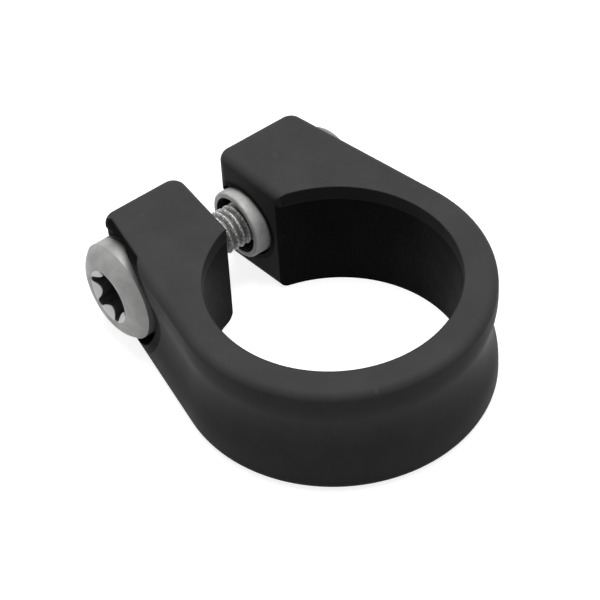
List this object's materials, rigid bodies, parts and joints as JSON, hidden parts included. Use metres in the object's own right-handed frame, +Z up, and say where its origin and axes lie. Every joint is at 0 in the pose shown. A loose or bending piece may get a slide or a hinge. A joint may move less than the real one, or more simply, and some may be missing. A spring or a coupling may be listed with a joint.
{
  "type": "seatpost clamp",
  "caption": "Slotted collar with two ears and a clamp bolt in a flanged sleeve nut, which closes a frame's seat tube on the seat post.",
  "frame": {"origin": "on the bore's axis, half way up the collar", "axes": "+Z up along the bore, towards the lip; +X away from the ears; the clamp bolt lies along Y with its head at -Y"},
  "size_m": [0.0522, 0.0424, 0.0176],
  "materials": {
    "black_anodised": "satin black anodised",
    "bolt_steel": "plain stainless, satin",
    "nut_steel": "plain stainless, turned"
  },
  "bodies": {
    "collar": {"collar": "black_anodised", "sleeve_nut": "nut_steel"},
    "bolt": {"clamp_bolt": "bolt_steel"}
  },
  "joints": [
    {"name": "bolt_turn", "type": "hinge", "parent": "collar", "child": "bolt", "pos_m": [-0.0238, 0, -0.0004], "axis": [0, 1, 0], "continuous": true}
  ]
}
